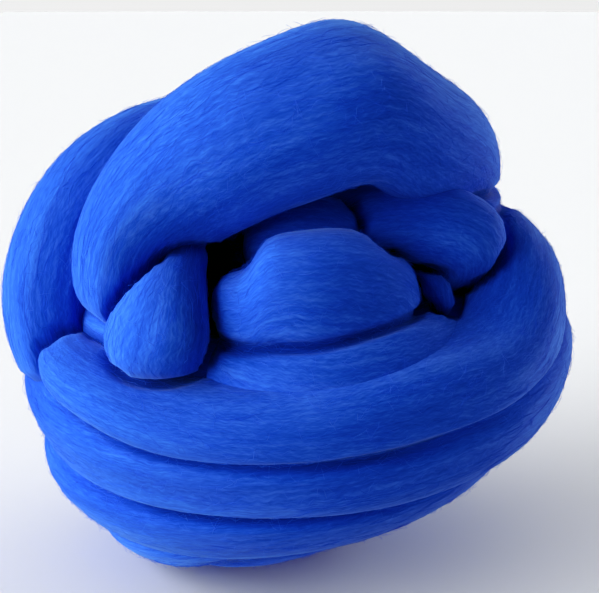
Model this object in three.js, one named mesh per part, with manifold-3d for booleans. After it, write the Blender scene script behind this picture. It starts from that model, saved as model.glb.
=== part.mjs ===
// Ball of merino roving: one thick combed strand, wound by hand over itself into a loose ball.
// Millimetres, +Z up. The ball stands on a small flat spot at z = 0, with its middle over the origin.
// Its front, the side with the hollow where the folded loops show, faces -Y.

import * as THREE from 'three';
import { ParametricGeometry } from 'three/addons/geometries/ParametricGeometry.js';
import { mergeVertices } from 'three/addons/utils/BufferGeometryUtils.js';
import Module from 'manifold-3d';

// Driving dimensions
const BALL = { wide: 220, deep: 196, tall: 210 };
const HEART = { share: 0.735, low: 8 }; // packed middle: share of the ball's size, and how far it has sunk
// Hollow at the front, between the strand over the top and the loops below it.
const HOLLOW = { wide: 150, deep: 124, tall: 96, ahead: 83, above: 45 };
const UNDERSIDE = { wide: 116, deep: 104, tall: 88, left: 6, sunk: 5 }; // packed wool over the flat spot
const SECTION_POWER = 2.3; // 2 is an ellipse, more is a flatter band with rounder shoulders
const SECTION_SIDES = 16;
const STEPS_PER_ROW = 4;
const TURN_ROWS = 12; // rows worked out for a closed turn
const TURN_STEPS_PER_ROW = 3;
const LENGTH_MARKS = 400; // places along a stretch where its length is measured
const PACKED_FACETS = { round: 32, up: 20 };
const WELD = 1e-4; // points closer than this are one point
const WOOL = { color: 0x2152ca, roughness: 0.95, metalness: 0 };

// Stretches of the strand that start and end inside the ball, a row for each section.
// turn: degrees round the ball from the front, positive to the right
// lift: degrees up from the ball's middle
// reach: distance out from the middle, as a share of the ball's half size
// breadth and depth: the section, across the strand and outwards
const STRETCHES = {
  overTop: [
    //turn lift reach breadth depth
    [136, 14, 0.48, 36, 30],
    [110, 30, 0.65, 42, 36],
    [86, 45, 0.745, 45, 42],
    [60, 55, 0.787, 50, 46],
    [29, 61, 0.872, 58, 46],
    [-6, 55, 0.828, 57, 46],
    [-27, 47, 0.78, 52, 44],
    [-38, 38, 0.75, 45, 42],
    [-43.5, 26, 0.745, 36, 40],
    [-45, 16, 0.735, 33, 37],
    [-47.5, 6, 0.68, 30, 32],
    [-51, -4, 0.5, 24, 24],
  ],
  leftSide: [
    [-215, 48, 0.5, 40, 34],
    [-170, 62, 0.62, 46, 36],
    [-125, 56, 0.66, 46, 38],
    [-94, 40, 0.73, 46, 40],
    [-82, 20, 0.77, 46, 42],
    [-76, 0, 0.79, 46, 42],
    [-73, -18, 0.76, 42, 38],
    [-74, -36, 0.64, 36, 32],
  ],
  leftInner: [
    [-120, 62, 0.5, 30, 28],
    [-86, 48, 0.65, 32, 30],
    [-68, 30, 0.7, 32, 32],
    [-60, 12, 0.71, 32, 32],
    [-56, -6, 0.67, 30, 30],
    [-54, -20, 0.54, 26, 26],
  ],
  bulb: [
    [-36, 46, 0.48, 7, 10],
    [-30, 35, 0.61, 8, 11],
    [-27, 22, 0.71, 9, 14],
    [-28, 11, 0.77, 22, 28],
    [-28.5, 2, 0.79, 32, 38],
    [-29.5, -5, 0.71, 31, 36],
    [-30, -10, 0.5, 26, 26],
  ],
  centre: [
    [-23, 8, 0.42, 24, 26],
    [-17, 8.5, 0.6, 36, 34],
    [-11, 9, 0.685, 40, 39],
    [-6, 9.5, 0.715, 42, 41],
    [-1.5, 11.5, 0.735, 47, 42],
    [7, 12, 0.74, 49, 42],
    [17, 11, 0.735, 47, 42],
    [27, 9.5, 0.695, 42, 38],
    [36, 8, 0.61, 33, 32],
    [43, 7, 0.44, 22, 24],
  ],
  shoulder: [
    [9, 51, 0.38, 22, 24],
    [29, 46.5, 0.53, 34, 34],
    [44, 37.5, 0.66, 39, 39],
    [52, 26, 0.715, 31, 38],
    [60.5, 16, 0.705, 19, 30],
    [67.5, 6.5, 0.645, 11, 22],
    [71, -3, 0.48, 8, 14],
  ],
  nib: [
    [50, 23, 0.54, 7, 12],
    [45, 16, 0.68, 7, 13],
    [43, 9, 0.725, 7, 14],
    [42.5, 1, 0.7, 7, 13],
    [43, -6, 0.54, 6, 11],
  ],
  underTop: [
    [-30, 38, 0.3, 18, 20],
    [-16, 39, 0.42, 24, 24],
    [-2, 39, 0.48, 26, 26],
    [14, 38, 0.5, 27, 26],
    [30, 34, 0.48, 26, 26],
    [44, 28, 0.38, 20, 20],
  ],
  rightInner: [
    [52, 30, 0.42, 32, 30],
    [70, 25, 0.57, 44, 40],
    [90, 23, 0.65, 48, 42],
    [112, 25, 0.67, 48, 40],
    [136, 32, 0.58, 40, 34],
    [156, 38, 0.42, 30, 28],
  ],
  lap: [
    [-25, -3, 0.46, 22, 26],
    [-15, -6.5, 0.66, 32, 33],
    [4, -7.5, 0.76, 36, 36],
    [24, -5, 0.77, 33, 36],
    [40, -4, 0.71, 26, 32],
    [54, -2, 0.62, 22, 28],
    [66, 0, 0.46, 18, 22],
  ],
  girdle: [
    [228, 2, 0.52, 30, 28],
    [206, 12, 0.7, 40, 34],
    [180, 20, 0.8, 44, 36],
    [152, 22, 0.8, 44, 36],
    [124, 17, 0.74, 42, 36],
    [100, 10, 0.71, 40, 38],
    [76, 3, 0.78, 43, 40],
    [52, -6.5, 0.83, 36, 40],
    [26, -10, 0.85, 35, 38],
    [0, -13, 0.85, 30, 38],
    [-22, -13, 0.845, 26, 37],
    [-40, -10, 0.835, 23, 35],
    [-56, -8, 0.8, 21, 33],
    [-70, -8, 0.71, 20, 30],
    [-84, -7, 0.55, 16, 24],
  ],
  backCross: [
    [96, 56, 0.5, 36, 34],
    [122, 52, 0.66, 44, 38],
    [150, 42, 0.78, 48, 40],
    [174, 27, 0.87, 50, 38],
    [193, 11, 0.88, 48, 36],
    [207, -2, 0.87, 46, 36],
    [221, -12, 0.85, 42, 36],
    [237, -18, 0.81, 38, 34],
    [253, -20, 0.72, 34, 32],
    [268, -19, 0.56, 28, 28],
  ],
  backLeft: [
    [-64, 16, 0.46, 34, 32],
    [-86, 22, 0.65, 44, 38],
    [-110, 28, 0.745, 48, 40],
    [-138, 34, 0.77, 50, 40],
    [-164, 41, 0.73, 46, 38],
    [-190, 50, 0.58, 38, 32],
  ],
  crown: [
    [-74, 50, 0.46, 40, 34],
    [-102, 68, 0.64, 56, 38],
    [-190, 80, 0.69, 62, 38],
    [-252, 66, 0.65, 56, 38],
    [-276, 50, 0.5, 42, 34],
  ],
};

// Hollows pressed into a stretch, a row for each.
// along: distance from the stretch's start
// angle: degrees round the section from its outer face, 90 at the side that lies uppermost
// length and spread: how far the hollow runs along the stretch, and round it in degrees
const DENTS = {
  centre: [
    //along angle length spread depth
    [33, 88, 5, 32, 7],
    [79, 86, 7, 38, 9],
  ],
};

// Closed turns round the ball, a row for each.
// lift and reach are the turn's own, and each is followed by what it gains at the front and at the right.
const TURNS = {
  //lift front right reach front right breadth depth
  belly: [-4, -4, 0, 0.6, 0, 0, 36, 36],
  second: [-16, -8, 5, 0.82, 0.02, 0.02, 40, 38],
  third: [-32, -7, 6, 0.82, 0.02, -0.06, 38, 38],
  fourth: [-50, -3, 8, 0.79, -0.02, -0.14, 44, 38],
  sole: [-61, 2, 5, 0.8, 0, -0.1, 40, 36],
  foot: [-72, 0, 0, 0.825, -0.05, -0.07, 36, 34],
};

const middle = new THREE.Vector3(0, 0, BALL.tall / 2);
const halfSize = new THREE.Vector3(BALL.wide / 2, BALL.deep / 2, BALL.tall / 2);

function centreOf([turn, lift, reach]) {
  const round = THREE.MathUtils.degToRad(turn);
  const rise = THREE.MathUtils.degToRad(lift);
  const level = Math.cos(rise);
  const way = new THREE.Vector3(level * Math.sin(round), -level * Math.cos(round), Math.sin(rise));
  return way.multiplyScalar(reach).multiply(halfSize).add(middle);
}

function sizeOf([, , , breadth, depth]) {
  return new THREE.Vector3(breadth, depth, 0);
}

// One closed turn as rows of the same columns as a stretch.
function turnRows([lift, liftFront, liftRight, reach, reachFront, reachRight, breadth, depth]) {
  return Array.from({ length: TURN_ROWS }, (_, row) => {
    const turn = (row * 360) / TURN_ROWS;
    const front = Math.cos(THREE.MathUtils.degToRad(turn));
    const right = Math.sin(THREE.MathUtils.degToRad(turn));
    return [
      turn,
      lift + liftFront * front + liftRight * right,
      reach + reachFront * front + reachRight * right,
      breadth,
      depth,
    ];
  });
}

// Direction straight out of the ball at a point.
function outwards(point) {
  return point.clone().sub(middle).divide(halfSize).divide(halfSize).normalize();
}

function bulge(value) {
  return Math.sign(value) * Math.abs(value) ** (2 / SECTION_POWER);
}

// How far the hollows of a stretch press its skin in at one place.
function pressAt(dents, along, angle) {
  return dents.reduce((sum, [start, round, length, spread, depth]) => {
    const ahead = (along - start) / length;
    const turned = (THREE.MathUtils.euclideanModulo(angle - round + 180, 360) - 180) / spread;
    return sum + depth * Math.exp(-ahead * ahead - turned * turned);
  }, 0);
}

// Skin of the strand: flattened round sections that stand square to the ball, along a smooth path.
// The two ends of an open stretch close in a round nose.
function strandSkin(rows, closed, stepsPerRow, dents = []) {
  const path = new THREE.CatmullRomCurve3(rows.map(centreOf), closed, 'catmullrom');
  const sizes = new THREE.CatmullRomCurve3(rows.map(sizeOf), closed, 'catmullrom');
  const spans = closed ? rows.length : rows.length - 1;
  const gone = path.getLengths(LENGTH_MARKS);

  const pointAt = (around, along, target) => {
    const share = closed ? along % 1 : along;
    const angle = (around % 1) * 2 * Math.PI;
    const centre = path.getPoint(share);
    const size = sizes.getPoint(share);
    const out = outwards(centre);
    const forward = path.getTangent(share).projectOnPlane(out).normalize();
    const side = new THREE.Vector3().crossVectors(out, forward);
    const fromEnd = closed ? 1 : Math.min(share * spans, (1 - share) * spans, 1);
    const nose = Math.sqrt(1 - (1 - fromEnd) ** 2);
    const across = side.clone().multiplyScalar((bulge(Math.cos(angle)) * nose * size.x) / 2);
    across.addScaledVector(out, (bulge(Math.sin(angle)) * nose * size.y) / 2);
    const run = gone[Math.round(share * LENGTH_MARKS)];
    const pressed = nose * pressAt(dents, run, 90 - THREE.MathUtils.radToDeg(angle));
    across.setLength(Math.max(across.length() - pressed, 0));
    target.copy(centre).add(across);
  };
  return new ParametricGeometry(pointAt, SECTION_SIDES, spans * stepsPerRow);
}

function packedWool(wide, deep, tall, centre) {
  const wool = new THREE.SphereGeometry(0.5, PACKED_FACETS.round, PACKED_FACETS.up);
  wool.scale(wide, deep, tall);
  wool.translate(centre.x, centre.y, centre.z);
  return wool;
}

const wasm = await Module();
wasm.setup();

// Joins the points of a skin that lie together and drops the triangles that vanish with them.
function solidOf(skin) {
  skin.deleteAttribute('normal');
  skin.deleteAttribute('uv');
  const welded = mergeVertices(skin, WELD);
  const index = welded.index.array;
  const kept = [];
  for (let at = 0; at < index.length; at += 3) {
    const [a, b, c] = index.slice(at, at + 3);
    if (a !== b && b !== c && c !== a) {
      kept.push(a, b, c);
    }
  }
  const mesh = new wasm.Mesh({
    numProp: 3,
    vertProperties: new Float32Array(welded.attributes.position.array),
    triVerts: new Uint32Array(kept),
  });
  return new wasm.Manifold(mesh);
}

function windBall() {
  const heart = packedWool(
    BALL.wide * HEART.share,
    BALL.deep * HEART.share,
    BALL.tall * HEART.share,
    new THREE.Vector3(0, 0, middle.z - HEART.low),
  );
  const underside = packedWool(
    UNDERSIDE.wide,
    UNDERSIDE.deep,
    UNDERSIDE.tall,
    new THREE.Vector3(-UNDERSIDE.left, 0, UNDERSIDE.tall / 2 - UNDERSIDE.sunk),
  );
  const skins = [
    underside,
    ...Object.entries(STRETCHES).map(([name, rows]) => strandSkin(rows, false, STEPS_PER_ROW, DENTS[name])),
    ...Object.values(TURNS).map((form) => strandSkin(turnRows(form), true, TURN_STEPS_PER_ROW)),
  ];
  const hollow = packedWool(
    HOLLOW.wide,
    HOLLOW.deep,
    HOLLOW.tall,
    new THREE.Vector3(0, -HOLLOW.ahead, middle.z + HOLLOW.above),
  );
  const packed = solidOf(heart).subtract(solidOf(hollow));
  const ball = skins.reduce((joined, skin) => joined.add(solidOf(skin)), packed);

  const below = new THREE.BoxGeometry(BALL.wide * 2, BALL.deep * 2, BALL.tall);
  below.translate(0, 0, -BALL.tall / 2);
  return ball.subtract(solidOf(below));
}

function geometryOf(solid) {
  const mesh = solid.getMesh();
  const geometry = new THREE.BufferGeometry();
  geometry.setAttribute('position', new THREE.BufferAttribute(mesh.vertProperties, 3));
  geometry.setIndex(new THREE.BufferAttribute(mesh.triVerts, 1));
  return geometry;
}

const rovingBall = new THREE.Mesh(geometryOf(windBall()), new THREE.MeshStandardMaterial(WOOL));
rovingBall.name = 'roving_ball';

// The middle of the ball's outline goes over the origin.
rovingBall.geometry.computeBoundingBox();
const outlineMiddle = rovingBall.geometry.boundingBox.getCenter(new THREE.Vector3());
rovingBall.position.set(-outlineMiddle.x, -outlineMiddle.y, 0);

const part = new THREE.Group();
part.add(rovingBall);

export default part;
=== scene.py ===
import math

import bpy
import numpy as np
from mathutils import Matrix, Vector
from mathutils.bvhtree import BVHTree


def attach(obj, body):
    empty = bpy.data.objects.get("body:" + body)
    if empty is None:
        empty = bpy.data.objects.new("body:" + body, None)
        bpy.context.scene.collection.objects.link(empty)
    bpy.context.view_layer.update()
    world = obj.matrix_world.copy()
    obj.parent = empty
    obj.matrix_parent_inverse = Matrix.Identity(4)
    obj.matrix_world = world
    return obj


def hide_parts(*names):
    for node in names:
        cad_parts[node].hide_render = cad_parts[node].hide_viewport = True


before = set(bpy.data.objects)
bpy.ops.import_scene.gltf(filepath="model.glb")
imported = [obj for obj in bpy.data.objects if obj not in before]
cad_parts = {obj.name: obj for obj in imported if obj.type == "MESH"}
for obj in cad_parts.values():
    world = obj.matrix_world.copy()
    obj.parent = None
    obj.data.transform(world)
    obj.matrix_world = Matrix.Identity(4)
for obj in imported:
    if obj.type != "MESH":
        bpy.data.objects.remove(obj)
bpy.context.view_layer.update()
print("frame loaded, nodes:", sorted(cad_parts))


class Wire:
    # one output of a node; +, - and * on it add Math nodes
    def __init__(self, tree, socket=None):
        self.tree = tree
        self.socket = socket

    def node(self, kind, settings=None, sockets=None, out=0):
        made = self.tree.nodes.new(kind)
        for name, value in (settings or {}).items():
            if name == "stops":
                self.setStops(made.color_ramp, value)
            else:
                setattr(made, name, value)
        for key, value in (sockets or {}).items():
            if isinstance(value, Wire):
                self.tree.links.new(value.socket, made.inputs[key])
            else:
                made.inputs[key].default_value = value
        return Wire(self.tree, made.outputs[out] if made.outputs else None)

    def setStops(self, ramp, stops):
        while len(ramp.elements) < len(stops):
            ramp.elements.new(0.5)
        for element, (place, colour) in zip(ramp.elements, stops):
            element.position = place
            element.color = colour

    def maths(self, operation, first, second):
        return self.node("ShaderNodeMath", {"operation": operation}, {0: first, 1: second})

    def __add__(self, other):
        return self.maths("ADD", self, other)

    def __radd__(self, other):
        return self.maths("ADD", other, self)

    def __sub__(self, other):
        return self.maths("SUBTRACT", self, other)

    def __rsub__(self, other):
        return self.maths("SUBTRACT", other, self)

    def __mul__(self, other):
        return self.maths("MULTIPLY", self, other)

    def __rmul__(self, other):
        return self.maths("MULTIPLY", other, self)


def newMaterial(name):
    material = bpy.data.materials.new(name)
    material.use_nodes = True
    material.node_tree.nodes.clear()
    return material, Wire(material.node_tree)


wool = {
    "tucked": (0.0060, 0.034, 0.22, 1),  # painted shade, darkest in the seams where strands press together
    "deep": (0.0155, 0.080, 0.49, 1),
    "body": (0.0265, 0.115, 0.60, 1),
    "pale": (0.0580, 0.195, 0.74, 1),
    # where each colour stands on the scale of tones, and what goes into a fibre's tone
    "stops": {"tucked": 0.10, "deep": 0.39, "body": 0.50, "pale": 0.64},
    "toneShare": {
        "felt": 0.40, "fine": 0.25, "mid": 0.19, "broad": 0.16, "furrow": 0.06, "tucked": 0.30,
    },
    "roughness": (0.88, 0.25),  # its level, and what the fine streaks take off
    "sheen": 0.40,
    "sheenRoughness": 0.45,
    "sheenTint": (0.28, 0.56, 1.0, 1),
    "gloss": 0.04,
    "specularTint": (0.45, 0.70, 1.0, 1),
    "felt": (3.2, 0.65),  # millimetres along and across the fibres
    "fineStreak": (12, 0.6),
    "midStreak": (26, 1.8),
    "broadStreak": (60, 9.0),
    "crimp": (5.0, 0.9),  # length of a wave and how far it swings, in millimetres
    "slant": 0.30,  # how far the felted fibres lean across the rest
    "grain": 0.6,  # how rough the streaks' own edges are
    "bump": {"height": 0.00032, "strength": 0.8, "felt": 0.50, "fine": 0.30, "mid": 0.20},
}


def woolMaterial(look):
    material, tool = newMaterial("blueCombedWool")
    run = tool.node("ShaderNodeAttribute", {"attribute_name": "fibreRun"}, out="Vector")
    # the furrows' height also sets the tone, lighter on the ridges and darker in the low places:
    # painted shade in the furrows, creases and the pressed fold
    furrow = tool.node("ShaderNodeAttribute", {"attribute_name": "furrow"}, out="Fac")
    # the seam mask is painted shade: it darkens the wool where one strand presses on the next
    tucked = tool.node("ShaderNodeAttribute", {"attribute_name": "tucked"}, out="Fac")

    def streaks(source, size, detail):
        scale = (1 / size[0], 1 / size[0], 1 / size[1])
        place = tool.node("ShaderNodeVectorMath", {"operation": "MULTIPLY"}, {0: source, 1: scale})
        sockets = {"Vector": place, "Scale": 1.0, "Detail": detail, "Roughness": look["grain"]}
        return tool.node("ShaderNodeTexNoise", {}, sockets)

    wave, swing = look["crimp"]
    sway = (streaks(run, (wave, wave * 2), 1.0) - 0.5) * (2 * swing)
    offset = tool.node("ShaderNodeCombineXYZ", {}, {"Z": sway})
    crimped = tool.node("ShaderNodeVectorMath", {"operation": "ADD"}, {0: run, 1: offset})
    place = tool.node("ShaderNodeSeparateXYZ", {}, {"Vector": crimped})
    lean = tool.node("ShaderNodeCombineXYZ", {}, {"Z": place * look["slant"]})
    slanted = tool.node("ShaderNodeVectorMath", {"operation": "ADD"}, {0: crimped, 1: lean})
    counter = tool.node("ShaderNodeVectorMath", {"operation": "SUBTRACT"}, {0: crimped, 1: lean})
    felt = streaks(slanted, look["felt"], 2.0) * 0.5 + streaks(counter, look["felt"], 2.0) * 0.5
    fine = streaks(crimped, look["fineStreak"], 2.0)
    mid = streaks(crimped, look["midStreak"], 2.0)
    broad = streaks(run, look["broadStreak"], 1.0)
    share = look["toneShare"]
    tone = (
        felt * share["felt"] + fine * share["fine"] + mid * share["mid"] + broad * share["broad"]
        + furrow * share["furrow"] - tucked * share["tucked"]
    )
    stops = [(place, look[name]) for name, place in look["stops"].items()]
    colour = tool.node("ShaderNodeValToRGB", {"stops": stops}, {"Fac": tone})
    relief = look["bump"]
    height = felt * relief["felt"] + fine * relief["fine"] + mid * relief["mid"]
    bump = tool.node(
        "ShaderNodeBump",
        {},
        {"Strength": relief["strength"], "Distance": relief["height"], "Height": height},
    )
    level, smoother = look["roughness"]
    shader = tool.node(
        "ShaderNodeBsdfPrincipled",
        {},
        {
            "Base Color": colour,
            "Roughness": level - fine * smoother,
            "Specular IOR Level": look["gloss"],
            "Specular Tint": look["specularTint"],
            "Sheen Weight": look["sheen"],
            "Sheen Roughness": look["sheenRoughness"],
            "Sheen Tint": look["sheenTint"],
            "Normal": bump,
        },
    )
    tool.node("ShaderNodeOutputMaterial", {}, {"Surface": shader})
    return material


# How pale a fibre's own random tone and its tip make it, the paler tip a painted highlight where
# the fibre stands out into the light, and its roughness with what the tip takes off.
fibreShade = {"own": 0.75, "tip": 0.25, "roughness": (0.8, 0.1), "gloss": 0.15}


def fibreMaterial(name, deep, pale):
    # fibreTone holds each fibre's own tone in X and the way from root to tip in Y
    material, tool = newMaterial(name)
    toned = tool.node("ShaderNodeAttribute", {"attribute_name": "fibreTone"}, out="Vector")
    ownTone = tool.node("ShaderNodeSeparateXYZ", {}, {"Vector": toned}, out="X")
    tip = Wire(tool.tree, ownTone.socket.node.outputs["Y"])
    paleness = ownTone * fibreShade["own"] + tip * fibreShade["tip"]
    colour = tool.node(
        "ShaderNodeMix", {"data_type": "RGBA"}, {0: paleness, 6: deep, 7: pale}, out=2
    )
    level, smoother = fibreShade["roughness"]
    shader = tool.node(
        "ShaderNodeBsdfPrincipled",
        {},
        {
            "Base Color": colour,
            "Roughness": level - tip * smoother,
            "Specular IOR Level": fibreShade["gloss"],
        },
    )
    tool.node("ShaderNodeOutputMaterial", {}, {"Surface": shader})
    return material


woolLook = woolMaterial(wool)
print("wool material made")

# Sizes in millimetres, angles in degrees, until a mesh is made.
millimetre = 0.001  # in metres
ball = {
    "half": np.array([110.0, 98.0, 105.0]),
    "middle": np.array([0.0, 0.0, 105.0]),
    "shift": np.array([-1.9588, -0.7837, 0.0]),  # brings the outline over the origin
    "sectionPower": (2.3, 2.7),  # of the wraps and of the turns: 2 is an ellipse, more is flatter
    "alongStep": 3.6,
    "lengthMarks": 600,  # places along a strand where its length is measured
    "aroundPoints": 104,
    "aroundSpread": 0.62,  # 1 spaces the points evenly, less puts more of them on the outer face
    "turnBlur": 18.0,  # over this length a section turns with the strand
    "turnSteps": 15,  # steps looked at each way for that
    "noseLeast": 0.0016,  # keeps a strand's end from closing to a point
    "floorSoft": 4.0,  # the height below which the wool is pressed flat
}

# Rows of a strand: turn, lift, reach, breadth, depth. Turn 0 is the front and 90 the right, and
# reach is a share of the ball's half size. Twist is how far the fibres drift across for each
# millimetre along, and furrow and fuzz are how much the strand has of each.
strands = {
    "overTop": {
        "rows": [
            (136, 14, 0.48, 36, 30), (110, 30, 0.65, 42, 36), (86, 45, 0.745, 45, 42),
            (60, 54, 0.787, 52, 46), (29, 60, 0.872, 62, 46), (-6, 55, 0.828, 57, 46),
            (-27, 47, 0.78, 52, 44), (-38, 38, 0.75, 45, 42), (-43.5, 26, 0.745, 36, 40),
            (-45, 16, 0.735, 33, 37), (-47.5, 6, 0.68, 30, 32), (-51, -4, 0.5, 24, 24),
        ],
        "twist": 0.06, "furrow": 1.0, "fuzz": 1.1,
    },
    "leftSide": {
        "rows": [
            (-215, 48, 0.5, 40, 34), (-170, 62, 0.62, 46, 36), (-125, 56, 0.66, 46, 38),
            (-94, 40, 0.73, 46, 40), (-82, 20, 0.77, 46, 42), (-76, 0, 0.79, 46, 42),
            (-73, -18, 0.76, 42, 38), (-74, -36, 0.64, 36, 32),
        ],
        "twist": 0.03, "furrow": 0.6, "fuzz": 0.8,
    },
    "leftInner": {
        "rows": [
            (-120, 62, 0.5, 30, 28), (-86, 48, 0.61, 32, 30), (-68, 30, 0.63, 32, 32),
            (-60, 12, 0.62, 32, 32), (-56, -6, 0.59, 30, 30), (-54, -20, 0.5, 26, 26),
        ],
        "twist": 0.03, "furrow": 0.9, "fuzz": 0.7,
    },
    "bulb": {
        "rows": [
            (-38, 46, 0.48, 12, 12), (-32, 35, 0.61, 13, 14), (-28.5, 22, 0.71, 14, 18),
            (-27.5, 13, 0.79, 30, 24), (-27.5, 6, 0.825, 40, 28), (-28, 0, 0.82, 38, 30),
            (-28.5, -5.5, 0.76, 28, 26), (-29, -10.5, 0.60, 13, 16),
        ],
        "power": 2.0, "tilt": 20,
        "twist": 0.0, "furrow": 0.8, "fuzz": 0.8,
    },
    "centre": {
        "rows": [
            (-28, 7, 0.38, 16, 20), (-21.5, 6.5, 0.52, 26, 30), (-15, 6.5, 0.605, 32, 36),
            (-8, 7.5, 0.65, 35.5, 40), (-2, 11.5, 0.675, 45, 42), (7, 12, 0.69, 49, 42),
            (17, 12, 0.67, 49, 42), (27, 10.5, 0.635, 45, 40), (36, 7.5, 0.565, 37, 36),
            (43, 6, 0.47, 29, 30), (50, 5.5, 0.36, 20, 24),
        ],
        "power": 2.0,
        # a fold pressed in: place along, angle round (90 is the top), length, spread round, depth
        "dents": [(82, 88, 6, 30, 10)],
        "twist": 0.10, "furrow": 0.6, "fuzz": 1.5,
    },
    "shoulder": {
        "rows": [
            (9, 48, 0.30, 18, 24), (29, 44, 0.43, 26, 30), (46, 37, 0.555, 29, 34),
            (56, 30, 0.65, 33, 36), (61, 22.5, 0.695, 32, 36), (64, 15, 0.665, 26, 32),
            (66, 6.5, 0.61, 15, 24), (68, -3, 0.46, 8, 14),
        ],
        "twist": 0.04, "furrow": 0.9, "fuzz": 1.6,
    },
    "nib": {
        "rows": [
            (51, 22, 0.50, 7, 9), (47, 16, 0.655, 8, 10), (44.5, 10, 0.70, 8.5, 10.5),
            (45, 3.5, 0.69, 8.5, 10.5), (49, -3, 0.52, 7, 9),
        ],
        "twist": 0.0, "furrow": 0.5, "fuzz": 1.0,
    },
    "underTop": {
        "rows": [
            (-30, 38, 0.3, 18, 20), (-16, 39, 0.42, 24, 24), (-2, 39, 0.48, 26, 26),
            (14, 38, 0.5, 27, 26), (30, 34, 0.48, 26, 26), (44, 28, 0.38, 20, 20),
        ],
        "twist": 0.03, "furrow": 0.8, "fuzz": 0.8,
    },
    "rightInner": {
        "rows": [
            (52, 30, 0.42, 32, 30), (70, 25, 0.57, 44, 40), (90, 23, 0.65, 48, 42),
            (112, 25, 0.67, 48, 40), (136, 32, 0.58, 40, 34), (156, 38, 0.42, 30, 28),
        ],
        "twist": 0.03, "furrow": 0.8, "fuzz": 1.0,
    },
    "lap": {
        "rows": [
            (-29, -3, 0.46, 20, 26), (-17, -5.5, 0.65, 31, 33), (3, -6.3, 0.755, 37, 36),
            (24, -4, 0.765, 34, 36), (40, -3.2, 0.71, 27, 32), (54, -2, 0.62, 22, 28),
            (66, 0, 0.46, 18, 22),
        ],
        "twist": 0.03, "furrow": 0.9, "fuzz": 0.9,
    },
    "girdle": {
        "rows": [
            (228, 2, 0.52, 30, 28), (206, 12, 0.7, 40, 34), (180, 20, 0.8, 44, 36),
            (152, 22, 0.8, 44, 36), (124, 17, 0.74, 42, 36), (100, 12.5, 0.72, 44, 38),
            (76, 5.5, 0.785, 48, 40), (52, -6, 0.83, 37, 40), (26, -10, 0.85, 35, 38),
            (0, -13, 0.85, 30, 38), (-22, -13, 0.845, 26, 37), (-40, -10, 0.835, 23, 35),
            (-56, -8, 0.8, 21, 33), (-70, -8, 0.71, 20, 30), (-84, -7, 0.55, 16, 24),
        ],
        "twist": 0.03, "furrow": 1.0, "fuzz": 1.0,
    },
    "backCross": {
        "rows": [
            (96, 56, 0.5, 36, 34), (122, 52, 0.66, 44, 38), (150, 42, 0.78, 48, 40),
            (174, 27, 0.87, 50, 38), (193, 11, 0.88, 48, 36), (207, -2, 0.87, 46, 36),
            (221, -12, 0.85, 42, 36), (237, -18, 0.81, 38, 34), (253, -20, 0.72, 34, 32),
            (268, -19, 0.56, 28, 28),
        ],
        "twist": 0.04, "furrow": 1.0, "fuzz": 1.0,
    },
    "backLeft": {
        "rows": [
            (-64, 16, 0.46, 34, 32), (-86, 22, 0.65, 44, 38), (-110, 28, 0.745, 48, 40),
            (-138, 34, 0.77, 50, 40), (-164, 41, 0.73, 46, 38), (-190, 50, 0.58, 38, 32),
        ],
        "twist": 0.04, "furrow": 1.0, "fuzz": 1.0,
    },
    "crown": {
        "rows": [
            (-74, 50, 0.46, 40, 34), (-102, 68, 0.64, 56, 38), (-190, 80, 0.69, 62, 38),
            (-252, 66, 0.65, 56, 38), (-276, 50, 0.5, 42, 34),
        ],
        "twist": 0.04, "furrow": 1.0, "fuzz": 1.0,
    },
}

# Closed turns round the base: lift and reach, each with what the front and the right add to it.
turns = {
    "belly": {"lift": (-4, -4, 0), "reach": (0.6, 0, 0), "breadth": 36, "depth": 36},
    "second": {"lift": (-16, -8, 5), "reach": (0.82, 0.02, 0.02), "breadth": 40, "depth": 38},
    "third": {"lift": (-32, -7, 6), "reach": (0.82, 0.02, -0.06), "breadth": 38, "depth": 38},
    "fourth": {"lift": (-50, -3, 8), "reach": (0.79, -0.02, -0.14), "breadth": 44, "depth": 38},
    "sole": {"lift": (-61, 2, 5), "reach": (0.8, 0.0, -0.1), "breadth": 40, "depth": 36},
    "foot": {"lift": (-72, 0, 0), "reach": (0.825, -0.05, -0.07), "breadth": 36, "depth": 34},
}

# Furrows between the bundles of fibre: blur along, blur across, height, all in millimetres.
furrows = {
    "billow": (60, 8.0, 0.60),
    "ridge": (34, 2.6, 0.10),
    "line": (9, 0.9, 0.05),
    "crease": (24, 4.5, 0.22),  # short thin folds, here and there
    "creaseWide": 0.24,
    "creaseGroup": 16,  # blur along of the places where folds gather
    "creaseRare": 0.9,  # more leaves fewer folds
    "valley": 0.45,  # 0 is a sharp valley between the bundles, 1 a wide round one
    "level": 0.9,  # the bundles' mean height, taken off again
    "cell": (2, 0.45),  # the random numbers' spacing along and across
    "spare": 40,  # cells past an open strand's end, so its two ends are not alike
    "wander": {"blur": (9, 3), "columns": 8, "spare": 20, "swing": 1.2},
    "streakShift": 900,  # no two strands have the same streaks
    "seed": 11,
}
# Where two strands meet, both draw back: how deep, and from how far off.
seam = {
    "deep": 2.4, "near": 3.2, "sure": 0.3, "search": 12,  # millimetres
    "joined": [{"overTop", "shoulder"}, {"lap", "girdle"}],  # pairs that run into each other
    # round the sides the lower turns run together: where that starts and ends, and how far it goes
    "leftFade": (0.50, 0.95, 0.65),
    "rightFade": (0.35, 0.85, 0.85),
}


def polarPoint(turn, lift, reach):
    turn, lift = np.radians(turn), np.radians(lift)
    way = np.stack([np.cos(lift) * np.sin(turn), -np.cos(lift) * np.cos(turn), np.sin(lift)], -1)
    return ball["middle"] + reach[:, None] * ball["half"] * way


def smoothRows(rows, u):
    # uniform Catmull-Rom through the rows
    padded = np.vstack([2 * rows[0] - rows[1], rows, 2 * rows[-1] - rows[-2]])
    k = np.clip(np.floor(u).astype(int), 0, len(rows) - 2)
    t = (u - k)[:, None]
    a, b, c, d = (padded[k + i] for i in range(4))
    return b + 0.5 * t * (c - a + t * (2 * a - 5 * b + 4 * c - d + t * (3 * (b - c) + d - a)))


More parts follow.
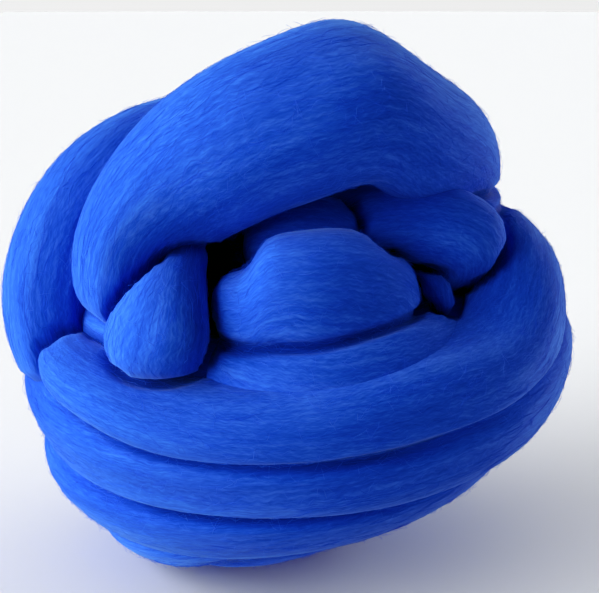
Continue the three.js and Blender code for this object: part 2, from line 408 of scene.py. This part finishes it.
def turnRows(piece, turn):
    front, right = np.cos(np.radians(turn)), np.sin(np.radians(turn))
    lift, reach = (
        piece[key][0] + piece[key][1] * front + piece[key][2] * right for key in ("lift", "reach")
    )
    ones = np.ones_like(turn)
    return np.stack([turn, lift, reach, piece["breadth"] * ones, piece["depth"] * ones], -1)


def evenRows(rowsAt, last, closed):
    # rows at even steps along the strand, with the place u of each
    u = np.linspace(0, last, ball["lengthMarks"])
    rows = rowsAt(u)
    centre = polarPoint(rows[:, 0], rows[:, 1], rows[:, 2])
    gone = np.concatenate([[0], np.cumsum(np.linalg.norm(np.diff(centre, axis=0), axis=1))])
    count = int(gone[-1] / ball["alongStep"]) + 1
    marks = np.linspace(0, gone[-1], count, endpoint=not closed)
    places = np.interp(marks, gone, u)
    return rowsAt(places), places, marks, gone[-1]


def blurredField(rng, shape, blur):
    # random numbers smoothed over blur cells each way, wrapping at the edges, with unit spread
    waves = np.fft.rfft2(rng.standard_normal(shape))
    down = np.fft.fftfreq(shape[0])[:, None] * blur[0]
    over = np.fft.rfftfreq(shape[1])[None, :] * blur[1]
    field = np.fft.irfft2(waves * np.exp(-2 * (np.pi ** 2) * (down ** 2 + over ** 2)), shape)
    return (field - field.mean()) / field.std()


def readGrid(grid, i, j, wrapAlong):
    # the grid read between its points; it always wraps the second way
    n, m = grid.shape[:2]
    low = np.floor(i).astype(int) if wrapAlong else np.clip(np.floor(i).astype(int), 0, n - 2)
    left = np.floor(j).astype(int)
    s, t = i - low, j - left
    if grid.ndim == 3:
        s, t = s[..., None], t[..., None]
    top, foot = low % n, (low + 1) % n
    near, far = left % m, (left + 1) % m
    return (
        (grid[top, near] * (1 - t) + grid[top, far] * t) * (1 - s)
        + (grid[foot, near] * (1 - t) + grid[foot, far] * t) * s
    )


def gridNormals(points, closed):
    if closed:
        along = np.roll(points, -1, 0) - np.roll(points, 1, 0)
    else:
        along = np.gradient(points, axis=0)
    around = np.roll(points, -1, 1) - np.roll(points, 1, 1)
    normal = np.cross(along, around)
    return normal / np.maximum(np.linalg.norm(normal, axis=-1, keepdims=True), 1e-9)


def bulge(x, power):
    return np.sign(x) * np.abs(x) ** (2 / power)


def pressFlat(points):
    # wool that would pass the floor is spread just above it
    soft = ball["floorSoft"]
    z = points[..., 2]
    points[..., 2] = np.where(z < soft, soft * np.exp(np.minimum(z - soft, 0) / soft), z)
    return points


def slowTurn(ways):
    most = ball["turnSteps"]
    shift = np.arange(-most, most + 1)
    weight = np.exp(-((shift * ball["alongStep"] / ball["turnBlur"]) ** 2) / 2)
    padded = np.pad(ways, ((most, most), (0, 0)), "edge")
    return sum(w * padded[most + k: most + k + len(ways)] for k, w in zip(shift, weight))


def strandGrid(name, piece, closed, rng):
    if closed:
        rows, places, marks, length = evenRows(lambda u: turnRows(piece, u), 360, True)
        nose = np.ones(len(rows))
    else:
        table = np.array(piece["rows"], float)
        last = len(table) - 1
        rows, places, marks, length = evenRows(lambda u: smoothRows(table, u), last, False)
        fromEnd = np.minimum(np.minimum(places, last - places), 1)
        nose = np.sqrt(np.maximum(1 - (1 - fromEnd) ** 2, ball["noseLeast"]))
    centre = polarPoint(rows[:, 0], rows[:, 1], rows[:, 2])
    out = (centre - ball["middle"]) / ball["half"] ** 2
    out /= np.linalg.norm(out, axis=1, keepdims=True)
    if closed:
        forward = np.roll(centre, -1, 0) - np.roll(centre, 1, 0)
    else:
        forward = np.gradient(centre, axis=0)
    forward -= out * (forward * out).sum(1, keepdims=True)
    forward /= np.linalg.norm(forward, axis=1, keepdims=True)
    if not closed:
        # sections turn slowly, so the inside of a bend is not pinched
        forward = slowTurn(forward)
        forward -= out * (forward * out).sum(1, keepdims=True)
        forward /= np.linalg.norm(forward, axis=1, keepdims=True)
    side = np.cross(out, forward)
    tilt = math.radians(piece.get("tilt", 0))  # turns the outer face to the strand's own right
    side, out = (
        side * math.cos(tilt) + out * math.sin(tilt),
        out * math.cos(tilt) - side * math.sin(tilt),
    )
    m, power = ball["aroundPoints"], piece.get("power", ball["sectionPower"][closed])
    s = (np.arange(m) + 0.5) / m * 2 - 1
    even = ball["aroundSpread"]
    angle = np.pi * (even * s + (1 - even) * s ** 3)
    breadth, depth = rows[:, 3] / 2 * nose, rows[:, 4] / 2 * nose
    points = (
        centre[:, None]
        + side[:, None] * (breadth[:, None] * bulge(np.sin(angle), power))[..., None]
        + out[:, None] * (depth[:, None] * bulge(np.cos(angle), power))[..., None]
    )
    # the fibres' own directions: along the strand, and round it with a slow twist
    girth = float(np.pi * (rows[:, 3] + rows[:, 4]).mean() / 2)
    drift = furrows["wander"]
    shape = (len(rows) + (0 if closed else drift["spare"]), drift["columns"])
    wander = blurredField(rng, shape, drift["blur"])[: len(rows), 0]
    across = (
        angle[None, :] / (2 * np.pi) * girth
        + (marks * piece.get("twist", 0) + wander * drift["swing"])[:, None]
    )
    cellAlong, cellAcross = furrows["cell"]
    cells = (
        int(length / cellAlong) + (0 if closed else furrows["spare"]), int(girth / cellAcross)
    )
    perMark = cells[0] / length if closed else 1 / cellAlong
    i = np.broadcast_to(marks[:, None] * perMark, across.shape)
    j = across / girth * cells[1]
    height = np.zeros(across.shape)
    for band in ("billow", "ridge", "line"):
        alongBlur, acrossBlur, rise = furrows[band]
        field = blurredField(rng, cells, (alongBlur / cellAlong, acrossBlur / cellAcross))
        if band != "line":
            field = np.sqrt(field ** 2 + furrows["valley"] ** 2) - furrows["level"]  # round bundles
        height += rise * readGrid(field, i, j, True)
    alongBlur, acrossBlur, fold = furrows["crease"]
    line = blurredField(rng, cells, (alongBlur / cellAlong, acrossBlur / cellAcross))
    groupBlur = (furrows["creaseGroup"] / cellAlong, acrossBlur / cellAcross)
    place = blurredField(rng, cells, groupBlur)
    gathered = np.clip(place - furrows["creaseRare"], 0, 1)
    line = np.exp(-(line / furrows["creaseWide"]) ** 2) * gathered
    height -= fold * readGrid(line, i, j, True)
    height *= piece.get("furrow", 1)
    for start, facing, longer, wider, deep in piece.get("dents", []):
        off = np.degrees(angle)[None, :] - facing
        height -= deep * np.exp(-((marks[:, None] - start) / longer) ** 2 - (off / wider) ** 2)
    normal = gridNormals(points, closed)
    points = points + normal * (height * nose[:, None])[..., None]
    if closed:
        radius = length / (2 * np.pi)
        swing = marks / radius
        run = [radius * np.cos(swing), radius * np.sin(swing)]
    else:
        run = [marks, np.zeros_like(marks)]
    fibreRun = np.stack(
        [np.broadcast_to(r[:, None], across.shape) for r in run] + [across], -1
    ) + rng.uniform(0, furrows["streakShift"], 3)
    return {
        "name": name, "points": points, "closed": closed, "height": height, "fibreRun": fibreRun,
        "fuzz": piece.get("fuzz", 1.0), "length": length,
    }


def gridQuads(n, m, closed):
    ring = np.arange(n if closed else n - 1)
    i, j = (x.ravel() for x in np.meshgrid(ring, np.arange(m), indexing="ij"))
    nextI, nextJ = (i + 1) % n, (j + 1) % m
    return np.stack([i * m + j, nextI * m + j, nextI * m + nextJ, i * m + nextJ], 1), i, j


def drawBack(grids):
    # the distance from each strand to the next one sets how far its skin draws back there
    trees = []
    for grid in grids:
        n, m = grid["points"].shape[:2]
        quads = gridQuads(n, m, grid["closed"])[0]
        flat = grid["points"].reshape(-1, 3)
        tree = BVHTree.FromPolygons(flat.tolist(), quads.tolist())
        trees.append((tree, flat.min(0), flat.max(0)))
    near, sure = seam["near"], seam["sure"]
    moved = []
    for own, grid in enumerate(grids):
        points = grid["points"][:, ::2]  # every second column is enough
        gap = np.full(points.shape[:2], near)
        for other, (tree, low, high) in enumerate(trees):
            if other == own or {grid["name"], grids[other]["name"]} in seam["joined"]:
                continue
            inside = ((points > low - near) & (points < high + near)).all(-1)
            for k in zip(*np.nonzero(inside)):
                hit, facing, _, away = tree.find_nearest(Vector(points[k]), seam["search"])
                if hit is not None:
                    side = facing.dot(Vector(points[k]) - hit)
                    gap[k] = min(gap[k], away if side > 0 else -away)
        close = np.clip((near - gap) / (near - sure), 0, 1)
        close = close * close * (3 - 2 * close)
        if grid["closed"]:
            right = points[..., 0] / np.hypot(points[..., 0], points[..., 1])
            for towards, fade in ((-right, seam["leftFade"]), (right, seam["rightFade"])):
                start, end, share = fade
                close *= 1 - share * np.clip((towards - start) / (end - start), 0, 1)
        shape = grid["points"].shape[:2]
        rows = np.broadcast_to(np.arange(len(close))[:, None], shape).astype(float)
        columns = np.broadcast_to(np.arange(shape[1]) / 2, shape)
        close = readGrid(close, rows, columns, grid["closed"])
        normal = gridNormals(grid["points"], grid["closed"])
        moved.append(grid["points"] - normal * (close * seam["deep"])[..., None])
        # the same closeness paints the seams darker, a painted shade
        grid["tucked"] = close ** 2
    for grid, points in zip(grids, moved):
        grid["points"] = pressFlat(points) + ball["shift"]
        grid["normals"] = gridNormals(grid["points"], grid["closed"])


def meshFrom(name, points, faces, material):
    # faces is a list of arrays of corner numbers, each of three or four columns
    mesh = bpy.data.meshes.new(name)
    mesh.vertices.add(len(points))
    mesh.vertices.foreach_set("co", np.asarray(points, np.float32).ravel())
    sizes = np.concatenate([np.full(len(f), f.shape[1]) for f in faces])
    corners = np.concatenate([f.ravel() for f in faces])
    mesh.loops.add(len(corners))
    mesh.loops.foreach_set("vertex_index", corners.astype(np.int32))
    mesh.polygons.add(len(sizes))
    starts = np.concatenate([[0], np.cumsum(sizes)[:-1]])
    mesh.polygons.foreach_set("loop_start", starts.astype(np.int32))
    mesh.polygons.foreach_set("use_smooth", np.ones(len(sizes), bool))
    mesh.update(calc_edges=True)
    mesh.materials.append(material)
    made = bpy.data.objects.new(name, mesh)
    bpy.context.scene.collection.objects.link(made)
    return made, corners


def setAttribute(mesh, name, kind, values):
    layer = mesh.attributes.new(name, kind, "POINT")
    key = "value" if kind == "FLOAT" else "vector"
    layer.data.foreach_set(key, np.asarray(values, np.float32).ravel())


def setMap(mesh, places):
    layer = mesh.uv_layers.new(name="OFBake")
    layer.data.foreach_set("uv", np.asarray(places, np.float32).ravel())


def belong(piece):
    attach(piece, "root")
    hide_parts("roving_ball")
    return piece


mapEdge = 0.02  # share of the map for a strand's cap, and the margin of the fibres' map


def strandPiece(grid):
    points = grid["points"]
    n, m = points.shape[:2]
    closed = grid["closed"]
    quads, i, j = gridQuads(n, m, closed)
    low, high = (0.0, 1.0) if closed else (mapEdge, 1 - mapEdge)
    v0, v1 = (low + (high - low) * (i + k) / (i.max() + 1) for k in (0, 1))
    u0, u1 = j / m, (j + 1) / m
    places = [np.stack([u0, v0, u0, v1, u1, v1, u1, v0], 1).ravel()]
    faces = [quads]
    flat = points.reshape(-1, 3)
    run, height = grid["fibreRun"].reshape(-1, 3), grid["height"].ravel()
    tucked = grid["tucked"].ravel()
    if not closed:
        # a small flat cap at each end
        ends = np.stack([points[0].mean(0), points[-1].mean(0)])
        flat = np.vstack([flat, ends])
        run = np.vstack([run, grid["fibreRun"][0].mean(0), grid["fibreRun"][-1].mean(0)])
        height = np.concatenate([height, [0, 0]])
        # the caps' middles take the full painted seam shade
        tucked = np.concatenate([tucked, [1, 1]])
        j = np.arange(m)
        k = (j + 1) % m
        first = np.stack([np.full(m, n * m), j, k], 1)
        last = np.stack([np.full(m, n * m + 1), (n - 1) * m + k, (n - 1) * m + j], 1)
        faces += [first, last]
        u0, mid, u1 = j / m, (j + 0.5) / m, (j + 1) / m
        zero, one = np.zeros(m), np.ones(m)
        places.append(np.stack([mid, zero, u0, zero + low, u1, zero + low], 1).ravel())
        places.append(np.stack([mid, one, u1, one * high, u0, one * high], 1).ravel())
    made, _ = meshFrom(grid["name"], flat * millimetre, faces, woolLook)
    setAttribute(made.data, "fibreRun", "FLOAT_VECTOR", run)
    setAttribute(made.data, "furrow", "FLOAT", height)
    setAttribute(made.data, "tucked", "FLOAT", tucked)
    setMap(made.data, np.concatenate(places))
    return belong(made)


rng = np.random.default_rng(furrows["seed"])
grids = [strandGrid(name, piece, False, rng) for name, piece in strands.items()]
grids += [strandGrid(name, piece, True, rng) for name, piece in turns.items()]
drawBack(grids)
print("strands drawn back at their seams")
strandPieces = [strandPiece(grid) for grid in grids]
faceCount = sum(len(piece.data.polygons) for piece in strandPieces)
print("strands made:", len(strandPieces), "with", faceCount, "faces")

heart = {
    "share": 0.47, "low": 8, "rings": 60, "around": 90,
    "lastRing": 88,  # degrees up and down
    "roll": 1.4, "rollBlur": (2.2, 9),
    "streakRadius": 80, "streakPerDegree": 1.3,  # how its fibres run, in millimetres
}


def heartPiece(piece, rng):
    # the wound middle, seen only at the bottom of the deep gaps, painted all over with the full
    # seam shade as painted shade
    n, m = piece["rings"], piece["around"]
    lift = np.radians(np.linspace(-piece["lastRing"], piece["lastRing"], n))
    turn = np.arange(m) / m * 2 * np.pi
    way = np.stack(
        [
            np.cos(lift)[:, None] * np.cos(turn),
            np.cos(lift)[:, None] * np.sin(turn),
            np.broadcast_to(np.sin(lift)[:, None], (n, m)),
        ],
        -1,
    )
    roll = np.abs(blurredField(rng, (n, m), piece["rollBlur"])) * piece["roll"]
    half = ball["half"] * piece["share"]
    points = ball["middle"] - [0, 0, piece["low"]] + way * (half + roll[..., None])
    points = pressFlat(points[::-1].copy()) + ball["shift"]
    swing = np.broadcast_to(turn[None, :], (n, m))
    across = np.broadcast_to(np.degrees(lift)[::-1, None] * piece["streakPerDegree"], (n, m))
    radius = piece["streakRadius"]
    run = np.stack([radius * np.cos(swing), radius * np.sin(swing), across], -1)
    return strandPiece(
        {
            "name": "heart", "points": points, "closed": False,
            "height": roll[::-1] - piece["roll"], "fibreRun": run,
            "tucked": np.ones(roll.shape),
        }
    )


woundHeart = heartPiece(heart, rng)
print("heart made")

# Both kinds of fibre are painted paler than the wool under them, the loose ones most: a painted
# highlight for the light that fibres standing off the skin catch.
combed = {
    "count": 9000, "length": (8, 22), "thick": 0.06, "spread": 9, "bow": (0.0, 0.15),
    "rise": (0.0, 0.3), "sway": 0.25, "points": 6, "evenFuzz": True,
    "deep": (0.015, 0.085, 0.56, 1), "pale": (0.033, 0.150, 0.70, 1), "seed": 21,
}
loose = {
    "count": 22500, "length": (3, 9), "thick": 0.048, "spread": 50, "bow": (0.05, 0.6),
    "rise": (0.2, 2.6), "sway": 0.5, "points": 5, "evenFuzz": False,
    "deep": (0.020, 0.105, 0.62, 1), "pale": (0.070, 0.225, 0.78, 1), "seed": 22,
}

# Rays out from every second ring and third column tell open wool from buried wool. In metres.
probe = {"rows": 2, "columns": 3, "clear": 0.0005, "far": 0.3, "past": 0.00002, "hits": 8}


def openPlaces(tree, grid):
    # 1 where the wool is in the open, 0 where it is buried
    rows, columns = probe["rows"], probe["columns"]
    points, normals = grid["points"][::rows, ::columns], grid["normals"][::rows, ::columns]
    seen = np.zeros(points.shape[:2])
    for k in np.ndindex(seen.shape):
        way = Vector(normals[k])
        place = Vector(points[k] * millimetre) + way * probe["clear"]
        depth = 0
        for _ in range(probe["hits"]):
            hit, facing, _, _ = tree.ray_cast(place, way, probe["far"])
            if hit is None:
                break
            depth += 1 if facing.dot(way) > 0 else -1
            place = hit + way * probe["past"]
        seen[k] = depth <= 0
    return seen


# What both kinds of fibre share.
fibre = {
    "shortest": 0.6,  # share of a length that is left at least
    "bend": 0.12,  # sideways, as a share of the length
    "leastStep": 0.15,  # narrowest column counted with, in millimetres
    "clear": 0.03,  # millimetres off the skin
    "tipCurve": 1.6,  # more lifts the tip later
    "endGap": 0.2,  # rows kept free at a strand's end
    "thin": 0.55,  # share of the thickness left beside its ends
    "mapSpan": 0.94, "mapStrip": (0.01, 0.008),
}


def fibrePaths(grid, kind, count, rng):
    # each fibre is a short line that follows the strand's own surface
    points, normals, seen = grid["points"], grid["normals"], grid["seen"]
    n, m = points.shape[:2]
    weight = (seen * grid["cellArea"]).ravel()
    if weight.sum() == 0:
        return None
    cell = rng.choice(len(weight), count, p=weight / weight.sum())
    rows, columns = probe["rows"], probe["columns"]
    row = cell // seen.shape[1] * rows + rng.uniform(-rows / 2, rows / 2, count)
    column = cell % seen.shape[1] * columns + rng.uniform(-columns / 2, columns / 2, count)
    length = rng.uniform(*kind["length"], count) * rng.uniform(fibre["shortest"], 1, count)
    angle = np.radians(rng.normal(0, kind["spread"], count)) + np.pi * rng.integers(0, 2, count)
    k = np.linspace(0, 1, kind["points"])[None, :]
    stepAcross = np.linalg.norm(np.roll(points, -1, 1) - points, axis=-1)
    inside = np.clip(row, 0, n - 1.001)  # just short of the last row
    wide = np.maximum(readGrid(stepAcross, inside, column, grid["closed"]), fibre["leastStep"])
    stepAlong = grid["length"] / (n if grid["closed"] else n - 1)
    bend = rng.normal(0, fibre["bend"], count)[:, None] * (k - 0.5) ** 2 * 4
    i = row[:, None] + (np.cos(angle) * length / stepAlong)[:, None] * (k - 0.5)
    j = column[:, None] + (np.sin(angle) * length / wide)[:, None] * (k - 0.5)
    sway = rng.normal(0, kind["sway"], (count, kind["points"]))
    j = j + bend * (length / wide)[:, None] + sway / wide[:, None]
    if not grid["closed"]:
        i = np.clip(i, fibre["endGap"], n - 1 - fibre["endGap"])
    bow = rng.uniform(*kind["bow"], count)[:, None]
    rise = rng.uniform(*kind["rise"], count)[:, None] * rng.uniform(0, 1, count)[:, None] ** 2
    lift = fibre["clear"] + bow * np.sin(np.pi * k) + rise * k ** fibre["tipCurve"]
    face = readGrid(normals, i, j, grid["closed"])
    face /= np.linalg.norm(face, axis=-1, keepdims=True)
    return readGrid(points, i, j, grid["closed"]) + face * lift[..., None], face


def fibrePiece(name, kind, material, wanted, rng):
    paths, faces = [], []
    for grid in wanted:
        share = grid["openArea"] * (1 if kind["evenFuzz"] else grid["fuzz"])
        count = int(round(kind["count"] * share / shareBase[kind["evenFuzz"]]))
        made = fibrePaths(grid, kind, count, rng) if count else None
        if made:
            paths.append(made[0])
            faces.append(made[1])
    path, face = np.concatenate(paths), np.concatenate(faces)
    count, k = path.shape[:2]
    ahead = np.gradient(path, axis=1)
    ahead /= np.maximum(np.linalg.norm(ahead, axis=-1, keepdims=True), 1e-9)
    over = np.cross(ahead, face)
    over /= np.maximum(np.linalg.norm(over, axis=-1, keepdims=True), 1e-9)
    up = np.cross(over, ahead)
    # a pointed end, rings of three points, a pointed end
    way = np.linspace(0, 1, k)
    thin = fibre["thin"]
    thick = kind["thick"] * (thin + (1 - thin) * np.sin(np.pi * way[1:-1]))
    ring = np.radians([90, 210, 330])
    tube = path[:, 1:-1, None] + thick[None, :, None, None] * (
        up[:, 1:-1, None] * np.sin(ring)[None, None, :, None]
        + over[:, 1:-1, None] * np.cos(ring)[None, None, :, None]
    )
    each = 3 * (k - 2) + 2
    points = np.concatenate([tube.reshape(count, -1, 3), path[:, :1], path[:, -1:]], 1)
    s = np.arange(3)
    t = (s + 1) % 3
    a = np.arange(k - 3)[:, None] * 3
    quads = np.stack([a + s, a + t, a + 3 + t, a + 3 + s], -1).reshape(-1, 4)
    last = 3 * (k - 3)
    root = np.stack([np.full(3, each - 2), t, s], -1)
    tip = np.stack([np.full(3, each - 1), last + s, last + t], -1)
    base = np.arange(count)[:, None, None] * each
    shapes = [(base + f).reshape(-1, f.shape[1]) for f in (quads, root, tip)]
    made, corners = meshFrom(name, points.reshape(-1, 3) * millimetre, shapes, material)
    tone = rng.uniform(0, 1, count)
    toned = np.zeros((count, each, 3))
    toned[..., 0] = tone[:, None]
    toned[..., 1] = np.concatenate([np.repeat(way[1:-1], 3), [0, 1]])
    setAttribute(made.data, "fibreTone", "FLOAT_VECTOR", toned)
    made.visible_shadow = False  # so fine a hair leaves no shadow that shows
    # on the map a fibre is a thin upright strip at its own tone, so equal tones share their pixels
    stripWide, stripTall = fibre["mapStrip"]
    place = mapEdge + fibre["mapSpan"] * toned[..., :2]
    place[:, :-2, 0] += np.tile([0, stripWide, 2 * stripWide], k - 2)
    place[:, :-2, 1] += np.tile([0, stripTall, 0], k - 2)
    setMap(made.data, place.reshape(-1, 2)[corners])
    return belong(made)


allPoints, allQuads = [], []
for grid in grids:
    n, m = grid["points"].shape[:2]
    allQuads += (gridQuads(n, m, grid["closed"])[0] + len(allPoints)).tolist()
    allPoints += (grid["points"].reshape(-1, 3) * millimetre).tolist()
tree = BVHTree.FromPolygons(allPoints, allQuads)
probeCells = probe["rows"] * probe["columns"]
for grid in grids:
    grid["seen"] = openPlaces(tree, grid)
    wide = np.linalg.norm(np.roll(grid["points"], -1, 1) - grid["points"], axis=-1)
    grid["cellArea"] = wide[:: probe["rows"], :: probe["columns"]]
    stepAlong = grid["length"] / grid["points"].shape[0]
    grid["openArea"] = float((grid["seen"] * grid["cellArea"]).sum() * probeCells * stepAlong)
shareBase = {
    True: sum(g["openArea"] for g in grids),
    False: sum(g["openArea"] * g["fuzz"] for g in grids),
}
print("open wool:", round(shareBase[True] / 100), "square centimetres")

# the strands in three groups, so that no piece of fibres is too heavy
onTop = {"overTop", "leftSide", "leftInner", "bulb", "centre", "crown"}
wraps = grids[: len(strands)]
groups = {
    "OnTop": [g for g in wraps if g["name"] in onTop],
    "OnSides": [g for g in wraps if g["name"] not in onTop],
    "OnTurns": grids[len(strands):],
}


def triangleCount(piece):
    return sum(len(face.vertices) - 2 for face in piece.data.polygons)


total = sum(triangleCount(piece) for piece in [*strandPieces, woundHeart])
for title, kind in (("combedFibres", combed), ("looseFibres", loose)):
    material = fibreMaterial(title, kind["deep"], kind["pale"])
    rng = np.random.default_rng(kind["seed"])
    for where, wanted in groups.items():
        made = fibrePiece(title + where, kind, material, wanted, rng)
        heavy = triangleCount(made)
        total += heavy
        print(made.name, heavy, "triangles")
print("all the wool:", total, "triangles")

# The table that is seen, and a greyer one under it that gives the ball its light from below.
floor = {
    "half": 12.0,
    "tint": (0.985, 1.0, 1.015),
    "roughness": 0.9,
    "table": {"drop": 0.0002, "grey": 0.60, "glow": 0.0},
    "tableBounce": {"drop": 0.0012, "grey": 0.45, "glow": 0.14},
}


def floorPiece(name):
    piece = floor[name]
    material, tool = newMaterial(name)
    shader = tool.node(
        "ShaderNodeBsdfPrincipled",
        {},
        {
            "Base Color": (*(piece["grey"] * share for share in floor["tint"]), 1),
            "Roughness": floor["roughness"], "Specular IOR Level": 0.0,
            "Emission Color": (1, 1, 1, 1), "Emission Strength": piece["glow"],
        },
    )
    tool.node("ShaderNodeOutputMaterial", {}, {"Surface": shader})
    corners = np.array([(-1, -1, 0), (1, -1, 0), (1, 1, 0), (-1, 1, 0)]) * floor["half"]
    made, _ = meshFrom(name, corners - [0, 0, piece["drop"]], [np.array([[0, 1, 2, 3]])], material)
    return made


table = floorPiece("table")
table.visible_diffuse = table.visible_glossy = table.visible_shadow = False
tableBounce = floorPiece("tableBounce")
tableBounce.visible_camera = tableBounce.visible_shadow = False

backdrop = {
    "radius": 11.5, "below": 0.5, "tall": 10.0, "sides": 96,
    "glow": (0.86, 0.04), "brightest": 0.98,
}


def backdropPiece(piece):
    # a pale wall far away all round, which only the camera sees; it glows rather than being lit,
    # its painted light brighter to the left
    material, tool = newMaterial("paleWall")
    shade = tool.node("ShaderNodeAttribute", {"attribute_name": "wallShade"}, out="Color")
    shader = tool.node(
        "ShaderNodeBsdfPrincipled",
        {},
        {
            "Base Color": (0, 0, 0, 1), "Roughness": 1.0, "Specular IOR Level": 0.0,
            "Emission Color": shade, "Emission Strength": 1.0,
        },
    )
    tool.node("ShaderNodeOutputMaterial", {}, {"Surface": shader})
    n = piece["sides"]
    turn = np.arange(n) / n * 2 * np.pi
    ring = np.stack([np.cos(turn), np.sin(turn), np.zeros(n)], 1) * piece["radius"]
    points = np.vstack([ring - [0, 0, piece["below"]], ring + [0, 0, piece["tall"]]])
    k = np.arange(n)
    follows = (k + 1) % n
    made, _ = meshFrom("wall", points, [np.stack([follows, k, k + n, follows + n], 1)], material)
    middle, swing = piece["glow"]
    shade = np.clip(middle - swing * np.cos(turn), 0, piece["brightest"])
    setAttribute(made.data, "wallShade", "FLOAT_VECTOR", np.tile(np.stack([shade] * 3, 1), (2, 1)))
    made.visible_diffuse = made.visible_glossy = made.visible_shadow = False


backdropPiece(backdrop)

light = {
    "blackLevel": (0.0, 0.0, 0.0130),
    # what the picture makes of red and of green, so that shaded wool keeps its deep blue
    "redCurve": [
        (0.012, 0.0025), (0.018, 0.0040), (0.026, 0.0100), (0.036, 0.0205), (0.055, 0.0330),
        (0.105, 0.0740), (0.200, 0.1700), (0.400, 0.3920),
    ],
    "greenCurve": [
        (0.034, 0.0120), (0.065, 0.0300), (0.105, 0.0670), (0.155, 0.1180), (0.200, 0.1670),
        (0.400, 0.3920),
    ],
    "sky": (0.040, 0.040, 0.043, 1),
    # lamps: the way the light comes from, its strength, and how wide the source looks in degrees
    "windowLight": ((-0.95, -0.23, 0.26), 6.3, 70),
    "wallLight": ((0.85, 0.48, 0.12), 3.0, 70),
    "tableLight": ((-0.2, -0.1, 1.0), 2.4, 130),  # falls on the table alone
}


def studioLight(piece):
    world = bpy.data.worlds.new("paleRoom")
    bpy.context.scene.world = world
    world.use_nodes = True
    world.node_tree.nodes["Background"].inputs["Color"].default_value = piece["sky"]
    for name in ("windowLight", "wallLight", "tableLight"):
        way, strength, spread = piece[name]
        lamp = bpy.data.lights.new(name, "SUN")
        lamp.energy = strength
        lamp.angle = math.radians(spread)
        made = bpy.data.objects.new(name, lamp)
        made.rotation_euler = Vector(way).to_track_quat("Z", "Y").to_euler()
        bpy.context.scene.collection.objects.link(made)
        if name == "tableLight":
            lit = bpy.data.collections.new("litTable")
            lit.objects.link(table)
            made.light_linking.receiver_collection = lit
    grade = bpy.context.scene.view_settings
    grade.view_transform = "Standard"
    grade.use_curve_mapping = True
    grade.curve_mapping.black_level = piece["blackLevel"]
    for curve, name in zip(grade.curve_mapping.curves, ("redCurve", "greenCurve")):
        for given, shown in piece[name]:
            curve.points.new(given, shown).handle_type = "VECTOR"
    grade.curve_mapping.update()


studioLight(light)

camera = {
    "focalPixels": 1150, "picture": 599,  # focal length and picture width, both in pixels
    "sensor": 36,
    "target": (0.00304, -0.00078, 0.105), "away": 0.45, "lift": 15,  # metres and degrees
    "clip": (0.01, 200),
}


def viewCamera(piece):
    seen = bpy.data.cameras.new("photoView")
    seen.sensor_width = piece["sensor"]
    seen.lens = piece["sensor"] * piece["focalPixels"] / piece["picture"]
    seen.clip_start, seen.clip_end = piece["clip"]
    made = bpy.data.objects.new("photoView", seen)
    lift = math.radians(piece["lift"])
    back = Vector((0, -math.cos(lift), math.sin(lift)))
    made.location = Vector(piece["target"]) + back * piece["away"]
    made.rotation_euler = back.to_track_quat("Z", "Y").to_euler()
    bpy.context.scene.collection.objects.link(made)
    bpy.context.scene.camera = made


viewCamera(camera)
print("table, light and camera placed")
